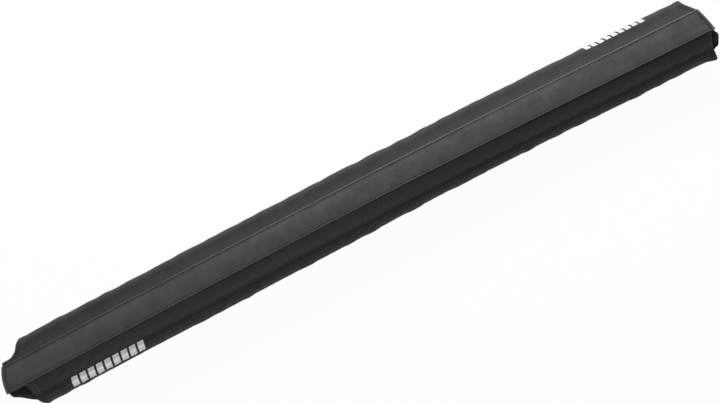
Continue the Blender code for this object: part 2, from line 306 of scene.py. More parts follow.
def make_fabric(name, colour, roughness, pitch, relief, mottle_size, mottle_amount, highlight_colour=None,
                specular=0.5, sheen=0.0, grain=0.0, grain_size=0.0006, metallic=0.0):
    material = bpy.data.materials.new(name)
    material.use_nodes = True
    tree = material.node_tree
    surface = tree.nodes["Principled BSDF"]
    surface.inputs["Specular IOR Level"].default_value = specular
    surface.inputs["Sheen Weight"].default_value = sheen
    surface.inputs["Sheen Roughness"].default_value = 0.5
    surface.inputs["Metallic"].default_value = metallic
    cut = add_node(tree, "ShaderNodeUVMap", uv_map="UVMap").outputs[0]
    mottle = use_group(tree, mottle_group, {"Vector": cut, "Size": mottle_size, "Amount": mottle_amount})
    factor = mottle.outputs["Factor"]
    shade = add_node(tree, "ShaderNodeVectorMath", {0: (*colour,)}, operation="SCALE")
    tree.links.new(factor, shade.inputs["Scale"])
    # Painted light: one attribute mixes in a lighter colour as a painted highlight, and the pressed attribute
    # darkens the colour as painted shade.
    if highlight_colour:
        painted_highlight = add_node(tree, "ShaderNodeAttribute", attribute_name="painted_highlight")
        mixed = add_node(tree, "ShaderNodeMix", data_type="RGBA")
        tree.links.new(painted_highlight.outputs["Fac"], mixed.inputs[0])
        tree.links.new(shade.outputs[0], mixed.inputs[6])
        mixed.inputs[7].default_value = (*highlight_colour, 1.0)
        # The pressed attribute carries painted shade.
        pressed = add_node(tree, "ShaderNodeAttribute", attribute_name="pressed")
        taken = math_node(tree, "MULTIPLY", pressed.outputs["Fac"], PAINTED_SHADE_STRENGTH)
        darker = add_node(tree, "ShaderNodeVectorMath", {0: mixed.outputs[2]}, operation="SCALE")
        tree.links.new(math_node(tree, "SUBTRACT", 1.0, taken), darker.inputs["Scale"])
        tree.links.new(darker.outputs[0], surface.inputs["Base Color"])
    else:
        tree.links.new(shade.outputs[0], surface.inputs["Base Color"])
    tree.links.new(math_node(tree, "MULTIPLY", factor, roughness), surface.inputs["Roughness"])
    height = None
    if relief > 0.0:
        weave = use_group(tree, weave_group, {"Vector": cut, "Pitch": pitch})
        height = math_node(tree, "MULTIPLY", weave.outputs["Height"], relief)
    if grain > 0.0:
        pebbles = add_node(tree, "ShaderNodeTexVoronoi", {"Vector": cut, "Scale": 1.0 / grain_size})
        bumps = math_node(tree, "MULTIPLY", pebbles.outputs["Distance"], grain)
        height = bumps if height is None else math_node(tree, "ADD", height, bumps)
    if height is not None:
        bump = add_node(tree, "ShaderNodeBump", {"Height": height, "Distance": 1.0, "Strength": 1.0})
        tree.links.new(bump.outputs[0], surface.inputs["Normal"])
    print("fabric", name)
    return material


# The last colour given to the coated and woven fabrics is the lighter colour of their painted highlight.
coated_fabric = make_fabric(
    "coated_fabric", (0.0462, 0.0438, 0.0468), 0.42, 0.0006, 0.00002, 0.018, 0.28, (0.075, 0.072, 0.076),
    specular=0.35, grain=0.00003, grain_size=0.0009)
woven_fabric = make_fabric(
    "woven_fabric", (0.0360, 0.0335, 0.0354), 0.72, 0.0011, 0.00014, 0.005, 0.40, (0.078, 0.074, 0.078),
    specular=0.12, sheen=0.02)
end_fabric = make_fabric(
    "end_fabric", (0.024, 0.024, 0.025), 0.85, 0.0010, 0.00010, 0.006, 0.16, specular=0.1)
grip_lining = make_fabric(
    "grip_lining", (0.020, 0.020, 0.021), 0.60, 0.0030, 0.00020, 0.010, 0.10, specular=0.4)
loop_tape = make_fabric(
    "loop_tape", (0.022, 0.022, 0.023), 0.95, 0.0008, 0.00020, 0.003, 0.30, specular=0.1, sheen=0.3)
hook_tape = make_fabric(
    "hook_tape", (0.018, 0.018, 0.019), 0.50, 0.0014, 0.00030, 0.010, 0.06, specular=0.5)
foam_material = make_fabric(
    "foam", (0.035, 0.035, 0.036), 0.90, 0.0010, 0.0, 0.004, 0.10,
    specular=0.2, grain=0.00010, grain_size=0.0012)
thread_material = make_fabric(
    "thread", (0.012, 0.012, 0.013), 0.60, 0.0004, 0.00004, 0.004, 0.10, specular=0.4)
bright_print = make_fabric(
    "bright_print", (0.76, 0.75, 0.76), 0.45, 0.0006, 0.00001, 0.006, 0.10, specular=0.5, metallic=0.25)
# A darker copy of the print material: painted shade for the back print, which is lit from behind.
painted_shade_print = make_fabric(
    "painted_shade_print", (0.42, 0.41, 0.42), 0.55, 0.0006, 0.00001, 0.006, 0.10, specular=0.4, metallic=0.10)


# %% [markdown]
# All the cloth hangs on one section line: the shape that a cut across the pad would show. From the seam the
# shoulder slopes gently down and turns over the rounded edge of the foam, then come the side, the lower
# corner and the part under the crossbar. The line is sampled finely and smoothed a little, so that cloth
# turns corners softly.

# %% The section of the cover
SHOULDER_SLOPE = math.radians(11.0)
SHOULDER_ROUND = 0.0085
SHOULDER_SAG = 0.0003
LOWER_RADIUS = 0.0120
TUCK_DEPTH = 0.0003
SEAM_TURN = 0.0008
SLOPE_STEPS = 9
ARC_STEPS = 24
LAP_HALF = 0.0108
LAP_STEP = 0.0123
LAP_RISE = loop_high.z + 0.0003
SAMPLE = 0.0004
SMOOTHING = 3


def cover_corners(upper):
    """Points of the section from the seam outwards. The upper flap steps up over the lower one's edge."""
    points = [
        (SEAM_HALF - SEAM_TURN, PANEL_LEVEL - TUCK_DEPTH),
        (SEAM_HALF + SEAM_TURN / 4, PANEL_LEVEL - TUCK_DEPTH * 0.7),
    ]
    turn_y = HALF_WIDTH - SHOULDER_ROUND
    bend_y = turn_y + SHOULDER_ROUND * math.sin(SHOULDER_SLOPE)
    bend_z = PANEL_LEVEL - (bend_y - SEAM_HALF) * math.tan(SHOULDER_SLOPE)
    turn_z = bend_z - SHOULDER_ROUND * math.cos(SHOULDER_SLOPE)
    for k in range(SLOPE_STEPS):
        y = SEAM_HALF + SEAM_TURN + (bend_y - SEAM_HALF - SEAM_TURN) * k / SLOPE_STEPS
        sag = SHOULDER_SAG * math.sin(math.pi * k / SLOPE_STEPS)
        points.append((y, PANEL_LEVEL - (y - SEAM_HALF) * math.tan(SHOULDER_SLOPE) - sag))
    for k in range(ARC_STEPS + 1):
        angle = SHOULDER_SLOPE + (math.pi / 2 - SHOULDER_SLOPE) * k / ARC_STEPS
        points.append((turn_y + SHOULDER_ROUND * math.sin(angle), turn_z + SHOULDER_ROUND * math.cos(angle)))
    foot_y = HALF_WIDTH - LOWER_RADIUS
    for k in range(ARC_STEPS + 1):
        angle = k / ARC_STEPS * math.pi / 2
        points.append((foot_y + LOWER_RADIUS * math.cos(angle), LOWER_RADIUS * (1.0 - math.sin(angle))))
    if upper:
        points += [(LAP_STEP, LAP_RISE), (-LAP_HALF, LAP_RISE)]
    else:
        points += [(-LAP_HALF, 0.0)]
    return np.array(points)


def smooth_section(upper):
    """Even samples of the section with their way from the seam and their outward normals."""
    corners = cover_corners(upper)
    steps = np.hypot(*np.diff(corners, axis=0).T)
    ways = np.concatenate([[0.0], np.cumsum(steps)])
    even = np.arange(0.0, ways[-1], SAMPLE)
    line = np.column_stack([np.interp(even, ways, corners[:, k]) for k in (0, 1)])
    kernel = np.ones(2 * SMOOTHING + 1) / (2 * SMOOTHING + 1)
    padded = np.pad(line, ((SMOOTHING, SMOOTHING), (0, 0)), mode="reflect", reflect_type="odd")
    line = np.column_stack([np.convolve(padded[:, k], kernel, mode="valid") for k in (0, 1)])
    slope = np.gradient(line, axis=0)
    slope /= np.linalg.norm(slope, axis=1)[:, None]
    normals = np.column_stack([-slope[:, 1], slope[:, 0]])
    return even, line, normals


SECTIONS = {-1: smooth_section(False), 1: smooth_section(True)}
WAY_AROUND = {side: float(section[0][-1]) for side, section in SECTIONS.items()}
print("way round the section, front and back:", [round(v * 1000, 1) for v in WAY_AROUND.values()], "mm")

# %% [markdown]
# Real cloth is never as even as a drawing. The flaps ripple along their lower corner, where nothing holds
# them, sag and crease a little between the seam and the side, and pucker close to the stitches. Smooth
# noise gives these four, each with its own length along the pad and its own length round the section. Three
# larger forms are given: the front is fuller in some places, its right corner flares, and both
# shoulders fall off towards the right end.

# %% Ripples in the cloth
RIPPLE_LENGTH = 0.015
RIPPLE_ROUND = 0.030
RIPPLE_SIZE = 0.0014
RIPPLE_FULLNESS = 0.30
SAG_LENGTH = 0.085
SAG_ROUND = 0.040
SAG_END = 0.050
SAG_SIZE = 0.0006
PUCKER_LENGTH = 0.0075
PUCKER_ROUND = 0.010
PUCKER_START = 0.0012
PUCKER_SIZE = 0.00022
PUCKER_REACH = 0.0040
CREASE_LENGTH = 0.013
CREASE_ROUND = 0.018
CREASE_SIZE = {-1: 0.00003, 1: 0.00075}
FRONT_SWELL = (
    (-0.38, 0.0), (-0.30, 0.0010), (-0.20, 0.0014), (-0.03, 0.0014),
    (0.05, -0.0004), (0.24, -0.0004), (0.30, 0.0008), (0.35, 0.0),
)
SWELL_SPREAD = 0.03
FLARE_SIZE = 0.0036
FLARE_WAY = 0.0310
FLARE_REACH = 0.0075
FLARE_LENGTH = 0.0130
SHOULDER_FALL = 0.0011
FALL_REACH = 0.0149
FALL_END = 0.046
FALL_FADE = 0.020
SIDE_WAY = 0.0360
SIDE_REACH = 0.0125
SWELL_REACH = 0.0180


def wobble(x, y, pattern):
    """Smooth noise between -1 and 1. Another pattern number gives other waves."""
    return noise.noise(Vector((x, y, pattern)))


@functools.cache
def side_swell(side, x):
    """The front hangs a little fuller in some places than in others. The back is even."""
    return softened(FRONT_SWELL, x, SWELL_SPREAD) if side < 0 else 0.0


def ripple(side, x, way):
    """How far the cloth stands out of its even section at a place, in metres."""
    wave = wobble(x / RIPPLE_LENGTH, way / RIPPLE_ROUND, 7.3 * side)
    outward = 0.4 * wave + 0.6 * abs(wave) + RIPPLE_FULLNESS
    rippled = RIPPLE_SIZE * hump(way - SIDE_WAY, SIDE_REACH) * outward
    body = math.sin(clamped(way / SAG_END) * math.pi)
    sagged = SAG_SIZE * body * wobble((x + way) / SAG_LENGTH, way / SAG_ROUND, 3.1 * side)
    near_seam = math.exp(-way / PUCKER_REACH) * min(1.0, way / PUCKER_START)
    puckered = PUCKER_SIZE * near_seam * wobble(x / PUCKER_LENGTH, way / PUCKER_ROUND, 1.7 * side)
    creased = CREASE_SIZE[side] * body * wobble(x / CREASE_LENGTH, way / CREASE_ROUND, 2.3 * side)
    swollen = side_swell(side, x) * hump(way - SIDE_WAY, SWELL_REACH)
    return rippled + sagged + puckered + creased + swollen


def front_right_flare(side, x, way):
    """The lower corner at the front right stands away from the pad."""
    if side > 0:
        return 0.0
    return FLARE_SIZE * hump(way - FLARE_WAY, FLARE_REACH) * hump(HALF_LENGTH - x, FLARE_LENGTH)


def shoulder_fall(x, reach):
    """Both shoulders fall off more towards the right end. Reach is the distance out from the seam."""
    return SHOULDER_FALL * x / HALF_LENGTH * clamped(reach / FALL_REACH)


@functools.cache
def section_at(side, way):
    """Place and normal of the even section at a way round it."""
    ways, line, normals = SECTIONS[side]
    return [float(np.interp(way, ways, column)) for column in (*line.T, *normals.T)]


def cloth_point(side, x, way, lift=0.0):
    """A point on the outer face of a flap and the section's normal there."""
    y, z, ny, nz = section_at(side, way)
    out = lift + ripple(side, x, way) + front_right_flare(side, x, way)
    fall = shoulder_fall(x, way) * clamped((FALL_END - way) / FALL_FADE)
    height = max(0.0, z + nz * out - fall)
    normal = Vector((0.0, side * ny, nz)).normalized()
    return Vector((x, side * (y + ny * out) + bow(x), height)), normal


print("a ripple at the middle of the front:", round(ripple(-1, 0.0, SIDE_WAY) * 1000, 2), "mm")


# %% [markdown]
# Every cloth is made in the same way: a flat grid is added with bpy.ops, as the cut lies on the table, then
# its corners are moved to where the cloth goes, and a Solidify modifier gives it its thickness inwards. The
# grid's UV map is set to the flat cut in metres first, so that the weave is woven before the cloth is
# folded. A grid that is rolled up into a tube has two edges that meet, and these are merged afterwards.

# %% Laying a grid of cloth
SMOOTH_ANGLE = math.radians(50.0)
MERGE_DISTANCE = 0.00002


def even(start, end, step):
    count = max(1, round((end - start) / step))
    return [start + (end - start) * k / count for k in range(count + 1)]


def thicken(piece, thickness, even_walls=True):
    """Give the active sheet its thickness, inwards from the face that was laid."""
    wall = piece.modifiers.new("thickness", "SOLIDIFY")
    wall.thickness = thickness
    wall.offset = -1.0
    wall.use_even_offset = even_walls
    bpy.ops.object.modifier_apply(modifier=wall.name)


def merge_tube(close_ends=False):
    """Merge the meeting edges of the active tube, close its ends if wanted and turn its faces outwards."""
    bpy.ops.object.mode_set(mode="EDIT")
    bpy.ops.mesh.select_all(action="SELECT")
    bpy.ops.mesh.remove_doubles(threshold=MERGE_DISTANCE)
    if close_ends:
        bpy.ops.mesh.select_all(action="DESELECT")
        bpy.ops.mesh.select_mode(type="EDGE")
        bpy.ops.mesh.select_non_manifold()
        bpy.ops.mesh.edge_face_add()
        bpy.ops.mesh.select_all(action="SELECT")
    bpy.ops.mesh.normals_make_consistent(inside=False)
    bpy.ops.object.mode_set(mode="OBJECT")


def lay_cloth(name, along, across, place, thickness, material, flip=False, masks=None, cut=None):
    """Fold a flat grid: place gives the point for a pair of stations, cut the point on the flat pattern."""
    bpy.ops.object.select_all(action="DESELECT")
    bpy.ops.mesh.primitive_grid_add(x_subdivisions=len(along) - 1, y_subdivisions=len(across) - 1, size=1.0)
    piece = bpy.context.object
    piece.name = name
    piece.data.name = name
    mesh = piece.data
    columns = [round((vertex.co.x + 0.5) * (len(along) - 1)) for vertex in mesh.vertices]
    rows = [round((vertex.co.y + 0.5) * (len(across) - 1)) for vertex in mesh.vertices]
    uv = mesh.uv_layers[0]
    uv.name = "UVMap"
    for loop in mesh.loops:
        i, j = columns[loop.vertex_index], rows[loop.vertex_index]
        uv.data[loop.index].uv = cut(along[i], across[j]) if cut else (along[i], across[j])
    for label, strength in (masks or {}).items():
        mask = mesh.attributes.new(label, "FLOAT", "POINT")
        for vertex, i, j in zip(mesh.vertices, columns, rows):
            mask.data[vertex.index].value = strength(along[i], across[j])
    for vertex, i, j in zip(mesh.vertices, columns, rows):
        vertex.co = place(along[i], across[j])
    if flip:
        bpy.ops.object.mode_set(mode="EDIT")
        bpy.ops.mesh.select_all(action="SELECT")
        bpy.ops.mesh.flip_normals()
        bpy.ops.object.mode_set(mode="OBJECT")
    if thickness > 0.0:
        thicken(piece, thickness)
    piece.data.materials.append(material)
    bpy.ops.object.shade_smooth_by_angle(angle=SMOOTH_ANGLE)
    print(name, len(piece.data.polygons), "faces")
    return piece


# %% [markdown]
# The coated panel is one long strip. The seam round it is folded, pinched and stitched once more along its
# foot, so it stands up as a low, narrow rim with a sewn groove inside. Distance from the panel's edge gives
# that profile, and because the nearest edge counts, the corners come out mitred as they do in a sewn one.

# %% The top panel
PANEL_ACROSS_STEP = 0.0013
PANEL_ALONG_STEP = 0.0011
RIM_WIDTH = 0.0019
END_RIM_SHARE = 0.66
EDGE_RISE = 0.0003
RIM_RISE = 0.00010
GROOVE_PLACE = 0.0022
GROOVE_WIDTH = 0.00052
GROOVE_DEPTH = 0.00006
RIM_TUCK = 0.00035
# The next four lines set painted light on the panel: the width of a painted highlight across the end rims,
# and the place, width and strength of painted shade in the stitched groove and along the folded edge, wider
# at the back.
HIGHLIGHT_WIDTH = 0.0007
GROOVE_SHADE = {-1: (GROOVE_PLACE, GROOVE_WIDTH), 1: (GROOVE_PLACE + 0.0003, GROOVE_WIDTH * 2.3)}
FOLD_WIDTH = {-1: 0.0005, 1: 0.0008}
FOLD_SHADE = 0.75
PANEL_CROWN = 0.00085
CROWN_SHARE = 0.86
CROWN_FALL = 0.6
PANEL_WAVE = 0.00045
PANEL_WAVE_LENGTH = 0.090
PANEL_WAVE_WIDTH = 0.06
END_ZONE = 0.8
END_BOW = {-1: 0.0014, 1: 0.0003}
END_EXTRA = {(-1, -1): 0.0057, (1, -1): 0.0013, (-1, 1): 0.0045, (1, 1): 0.0007}
PANEL_DRIFT = ((-0.38, 0.0), (-0.12, 0.0), (0.02, 0.0005), (0.17, 0.0), (0.30, -0.0005), (0.38, -0.0002))
DRIFT_SPREAD = 0.04
STITCH_PITCH = 0.0033
STITCH_REACH = 0.0012
STITCH_PULL = 0.00003
RIM_UNEVEN = 0.00008


def rim_profile(distance):
    """Height over the flat panel at a distance from its edge."""
    middle = RIM_WIDTH / 2
    off = abs(distance - middle) / middle
    ridge = RIM_RISE * max(0.0, 1.0 - off * off)
    groove = GROOVE_DEPTH * hump(distance - GROOVE_PLACE, GROOVE_WIDTH)
    outside = (EDGE_RISE + TUCK_DEPTH * 0.8) * max(0.0, 1.0 - distance / RIM_TUCK)
    return EDGE_RISE + ridge - groove - outside


def side_of(place):
    """-1 for the front or the left end, 1 for the back or the right end."""
    return -1 if place < 0.0 else 1


def panel_share(y):
    """-1 on the panel's front edge, 1 on its back edge."""
    return y / PANEL_HALF[side_of(y)]


def panel_half_length(y, end):
    """The end edges bow out, and reach a little further at the front."""
    share = panel_share(y)
    extra = END_EXTRA[(-1, end)] * (0.5 - 0.5 * share) + END_EXTRA[(1, end)] * (0.5 + 0.5 * share)
    return HALF_LENGTH + extra + END_BOW[end] * (1.0 - share * share)


def panel_distances(u, y):
    """Distances from the nearest end edge, where the rim is wider, and from the nearest long edge."""
    return (HALF_LENGTH - abs(u)) * END_RIM_SHARE, PANEL_HALF[side_of(y)] - abs(y)


@functools.cache
def panel_drift(x):
    """The panel wanders a little from side to side along the pad, as a hand-guided seam does."""
    return softened(PANEL_DRIFT, x, DRIFT_SPREAD)


def panel_point(u, y):
    """u is the place along a panel with straight ends. Near the ends it is stretched to the curved edge."""
    end = side_of(u)
    near_end = max(0.0, abs(u) / HALF_LENGTH - END_ZONE) / (1.0 - END_ZONE)
    x = u + end * near_end * (panel_half_length(y, end) - HALF_LENGTH)
    distance = min(panel_distances(u, y))
    inner = max(0.0, 1.0 - (panel_share(y) / CROWN_SHARE) ** 2)
    crown = PANEL_CROWN * (1.0 - CROWN_FALL * max(0.0, x / HALF_LENGTH) ** 2)
    height = PANEL_LEVEL + rim_profile(distance) + crown * inner
    height -= max(0.0, abs(y) - SEAM_HALF) * math.tan(SHOULDER_SLOPE)
    height += PANEL_WAVE * inner * wobble((x + 1.2 * y) / PANEL_WAVE_LENGTH, y / PANEL_WAVE_WIDTH, 5.5)
    stitch_pull = 0.5 + 0.5 * math.cos(2.0 * math.pi * x / STITCH_PITCH)
    near_rim = hump(distance - RIM_WIDTH / 2, STITCH_REACH)
    height += near_rim * (STITCH_PULL * stitch_pull + RIM_UNEVEN * wobble(x / 0.012, y / 0.02, 9.1))
    return Vector((x, y + bow(x) + panel_drift(x), height))


def panel_highlight(u, y):
    """A painted highlight on the rim across the two ends."""
    from_end, from_side = panel_distances(u, y)
    return hump(from_end - RIM_WIDTH / 2, HIGHLIGHT_WIDTH) if from_end < from_side else 0.0


def panel_painted_shade(u, y):
    """Painted shade at the folded edge and in the stitched groove, wider at the back."""
    distance = min(panel_distances(u, y))
    place, width = GROOVE_SHADE[side_of(y)]
    return max(FOLD_SHADE * hump(distance, FOLD_WIDTH[side_of(y)]), hump(distance - place, width))


edge_steps = [
    0.0, 0.00012, 0.0003, 0.0006, 0.0009, 0.0012, 0.0015,
    0.0018, 0.0020, 0.0022, 0.0024, 0.0026, 0.0029, 0.0034,
]
inner_edge = edge_steps[-1]
panel_across = [-PANEL_HALF[-1] + step for step in edge_steps]
panel_across += even(inner_edge - PANEL_HALF[-1], PANEL_HALF[1] - inner_edge, PANEL_ACROSS_STEP)[1:-1]
panel_across += [PANEL_HALF[1] - step for step in reversed(edge_steps)]
end_steps = [step / END_RIM_SHARE for step in edge_steps]
inner_end = HALF_LENGTH - end_steps[-1]
panel_along = [-HALF_LENGTH + step for step in end_steps]
panel_along += even(-inner_end, inner_end, PANEL_ALONG_STEP)[1:-1]
panel_along += [HALF_LENGTH - step for step in reversed(end_steps)]
panel = lay_cloth("panel_cloth", panel_along, panel_across, panel_point, PANEL_CLOTH, coated_fabric,
                  masks={"painted_highlight": panel_highlight, "pressed": panel_painted_shade})
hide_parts("top_panel")
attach(panel, "root")

# %% [markdown]
# Each flap is one piece of woven cloth. It starts tucked under the panel's rim, turns over the shoulder and
# the side and ends under the crossbar. Its ends are turned over and sewn, which makes them thicker, and
# they sweep back from the panel's corner in a curve that differs from corner to corner, because cloth is
# pulled about as it is sewn and used. Each curve is a list of knots: the way round the section, and how far
# the edge stands back from the pad's end.

# %% The end edges of the flaps
SEAM_BAND = 0.004
SEAM_BAND_STEP = 0.0005
FLAP_STEP = 0.0013
HEM_WIDTH = 0.0060
HEM_RISE = 0.00042
HEM_STITCH = HEM_WIDTH - 0.0012
HEM_START = 0.0006
HEM_PULL = 0.75
HEM_FADE_END = 0.062
HEM_FADE = 0.008
# Painted light on the flaps: a painted highlight along each hem's folded edge and over the shoulder's bend,
# strong on the front and faint on the back, and painted shade along each hem's stitched line.
HEM_HIGHLIGHT = 0.4
HEM_HIGHLIGHT_PLACE = 0.0008
HEM_SHADE = 0.35
BEND_HIGHLIGHT = {-1: 0.45, 1: 0.05}
BEND_WAY = 0.0210
BEND_REACH = 0.0034
FLAP_COLUMNS = 520
UNDER_WAY = 0.05
END_SPREAD = 0.0030
END_INSETS = {
    (-1, -1): (
        (0.0, 0.0120), (0.004, 0.0140), (0.010, 0.0164), (0.018, 0.0178),
        (0.024, 0.0195), (0.033, 0.0200), (0.045, 0.0185),
    ),
    (1, -1): (
        (0.0, 0.0020), (0.0024, 0.0040), (0.0045, 0.0065), (0.0088, 0.0150),
        (0.016, 0.0186), (0.022, 0.0217), (0.028, 0.0222), (0.045, 0.0200),
    ),
    (-1, 1): (
        (0.0, -0.0022), (0.002, -0.0011), (0.006, 0.0018), (0.011, 0.0047), (0.0165, 0.0066), (0.020, 0.0066),
        (0.026, 0.0052), (0.031, 0.0038), (0.035, 0.0038), (0.040, 0.0060), (0.045, 0.0095), (0.052, 0.0120),
    ),
    (1, 1): (
        (0.0, -0.0010), (0.001, 0.0), (0.007, 0.0026), (0.010, 0.0041),
        (0.0153, 0.0079), (0.022, 0.0076), (0.030, 0.0070),
    ),
}


@functools.cache
def flap_end(side, end, way):
    """Where a flap's end edge lies along the pad, at a way round the section."""
    return end * (HALF_LENGTH - softened(END_INSETS[(side, end)], way, END_SPREAD))


def hem_lift(distance):
    """The hem is a second layer that lifts the cloth. Stitches pull it down near its inner edge."""
    edge = min(1.0, distance / HEM_START)
    inner = 0.5 - 0.5 * math.tanh((distance - HEM_WIDTH) / 0.0005)
    return HEM_RISE * (edge * inner - HEM_PULL * hump(distance - HEM_STITCH, 0.0005))


hem_steps = [
    0.0, 0.0003, 0.0007, 0.0014, 0.0024, 0.0034, 0.0042,
    0.0046, 0.0050, 0.0055, 0.0060, 0.0064, 0.0070, 0.0080,
]


def flap_stations():
    """Stations along a flap: distances from both ends within the hems, and shares between the hems."""
    left = [("left", step) for step in hem_steps]
    middle = [("middle", share) for share in even(0.0, 1.0, 1.0 / FLAP_COLUMNS)[1:-1]]
    right = [("right", step) for step in reversed(hem_steps)]
    return left + middle + right


def flap_place(side, station, way):
    """Place along the pad, and distance from the end edge, which only matters within the hems."""
    kind, value = station
    left = flap_end(side, -1, way)
    right = flap_end(side, 1, way)
    if kind == "left":
        return left + value, value
    if kind == "right":
        return right - value, value
    start, stop = left + hem_steps[-1], right - hem_steps[-1]
    return start + (stop - start) * value, 1.0


def add_flap(name, side, node):
    def place(station, way):
        x, distance = flap_place(side, station, way)
        return cloth_point(side, x, way, hem_lift(distance) * clamped((HEM_FADE_END - way) / HEM_FADE))[0]

    def cut(station, way):
        return (flap_place(side, station, way)[0], way)

    # A painted highlight along the hem's folded edge and over the shoulder's bend.
    def painted_highlight(station, way):
        distance = flap_place(side, station, way)[1]
        hem = HEM_HIGHLIGHT * hump(distance - HEM_HIGHLIGHT_PLACE, HEM_HIGHLIGHT_PLACE)
        return min(1.0, hem + BEND_HIGHLIGHT[side] * hump(way - BEND_WAY, BEND_REACH))

    # Painted shade along the hem's stitched line.
    def pressed(station, way):
        distance = flap_place(side, station, way)[1]
        return HEM_SHADE * hump(distance - HEM_STITCH, 0.0006)

    across = even(0.0, SEAM_BAND, SEAM_BAND_STEP)[:-1] + even(SEAM_BAND, WAY_AROUND[side], FLAP_STEP)
    piece = lay_cloth(name, flap_stations(), across, place, FLAP_CLOTH, woven_fabric, flip=side < 0,
                      masks={"painted_highlight": painted_highlight, "pressed": pressed}, cut=cut)
    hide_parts(node)
    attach(piece, "root")
    return piece


front_flap = add_flap("front_flap_cloth", -1, "front_flap")
back_flap = add_flap("back_flap_cloth", 1, "back_flap")
for flap, side in ((front_flap, -1), (back_flap, 1)):
    length = flap_end(side, 1, UNDER_WAY) - flap_end(side, -1, UNDER_WAY)
    print(flap.name, "cut", round(WAY_AROUND[side] * 1000), "by", round(length * 1000), "mm")

# %% [markdown]
# The foam sits in a pocket, and narrows towards its ends. Each corner of the pad does that in its own way,
# so the half width is a soft line for each. The same outline serves the foam, the lining under it and the
# cups of thin dark cloth that close both ends.

# %% The pocket's outline
UPPER_ARC_STEPS = 8
LOWER_ARC_STEPS = 6
LEAST_SHOULDER = 0.0002
POCKET_KNOTS = {
    (-1, -1): ((0.0, 0.0172), (0.009, 0.0242), (0.016, 0.0286), (0.026, 0.0312), (0.034, 0.0316)),
    (1, -1): ((0.0, 0.0182), (0.006, 0.0190), (0.0145, 0.0210), (0.024, 0.0285), (0.034, 0.0316)),
    (-1, 1): ((0.0, 0.0270), (0.012, 0.0300), (0.034, 0.0316)),
    (1, 1): ((0.0, 0.0130), (0.006, 0.0160), (0.014, 0.0240), (0.034, 0.0316)),
}
POCKET_SPREAD = 0.002
POCKET_EDGE = 0.003
POCKET_EDGE_GAIN = 0.004
LEAST_RADIUS = 0.0007
POCKET_ROUND = 0.0220
POCKET_TOP = foam_high.z
POCKET_LOW = foam_low.z
CAP_DEPTH = 0.034
END_BULGE = {(-1, -1): 0.0075, (1, -1): 0.0018, (-1, 1): 0.0032, (1, 1): 0.0032}
CORNER_TAB = 0.0045
CORNER_TAB_PLACE = -0.0180
CORNER_TAB_WIDTH = 0.0060
CUP_SINK = {(-1, -1): 0.0036, (1, -1): 0.0006, (-1, 1): 0.0, (1, 1): 0.0}


@functools.cache
def pocket_half_width(x, side):
    """Half the pocket's width. Each corner narrows in its own way, the front right one hardly at all."""
    return softened(POCKET_KNOTS[(side, side_of(x))], max(0.0, HALF_LENGTH - abs(x)), POCKET_SPREAD)


def pocket_ring(x, depth, count):
    """Evenly spaced points round the pocket at x, shrunk by depth, as pairs of y and z."""
    share = math.sin(clamped((HALF_LENGTH - abs(x)) / POCKET_ROUND) * math.pi / 2)
    upper = max(LEAST_RADIUS, POCKET_EDGE + POCKET_EDGE_GAIN * share - depth)
    lower = max(LEAST_RADIUS, POCKET_EDGE - depth)
    top = POCKET_TOP - depth
    low = POCKET_LOW + depth
    corners = []
    for side in (-1, 1):
        half = pocket_half_width(x, side) - depth
        bend_y = half - upper + upper * math.sin(SHOULDER_SLOPE)
        bend_z = top - max(0.0, bend_y - SEAM_HALF) * math.tan(SHOULDER_SLOPE)
        turn_z = bend_z - upper * math.cos(SHOULDER_SLOPE)
        quarter = [(min(SEAM_HALF, bend_y - LEAST_SHOULDER), top)]
        for k in range(UPPER_ARC_STEPS + 1):
            angle = SHOULDER_SLOPE + (math.pi / 2 - SHOULDER_SLOPE) * k / UPPER_ARC_STEPS
            quarter.append((half - upper + upper * math.sin(angle), turn_z + upper * math.cos(angle)))
        for k in range(LOWER_ARC_STEPS + 1):
            angle = k / LOWER_ARC_STEPS * math.pi / 2
            quarter.append((half - lower + lower * math.cos(angle), low + lower - lower * math.sin(angle)))
        corners.append([(side * y, z) for y, z in quarter])
    front, back = corners
    loop = np.array([(0.0, top)] + back + [(0.0, low)] + list(reversed(front)) + [(0.0, top)])
    loop[:, 1] -= [shoulder_fall(x, abs(y) - SEAM_HALF) * (z - low) / (top - low) for y, z in loop]
    ways = np.concatenate([[0.0], np.cumsum(np.hypot(*np.diff(loop, axis=0).T))])
    picks = np.linspace(0.0, ways[-1], count + 1)
    return [(float(np.interp(p, ways, loop[:, 0])), float(np.interp(p, ways, loop[:, 1]))) for p in picks]


print("pocket half width at the right end, front and back:",
      round(pocket_half_width(HALF_LENGTH, -1), 4), round(pocket_half_width(HALF_LENGTH, 1), 4))

# %% [markdown]
# A cup is a grid as well, rolled up round the end of the foam. Its side tapers with the pocket, and its end
# is a dome of rings that shrink to the middle. Noise round the rings gives the gathers, which are strongest
# on top, near the seam, and fade out towards the middle, the bottom and the inner end of the cup.

# %% The gathered end cups
CUP_CLOTH = 0.0005
CUP_ROUND = 0.100
CUP_END = 0.008
CUP_ROWS = 44
GATHER_COUNT = 220
GATHER_SIZE = 0.0010
GATHER_REACH = 0.020
DOME_RINGS = 16


def ring_normals(ring):
    """Outward directions in the section for a closed ring whose first and last points are the same."""
    points = np.array(ring[:-1])
    along = np.roll(points, -1, axis=0) - np.roll(points, 1, axis=0)
    along /= np.linalg.norm(along, axis=1)[:, None]
    normals = np.column_stack([-along[:, 1], along[:, 0]])
    return np.concatenate([normals, normals[:1]])


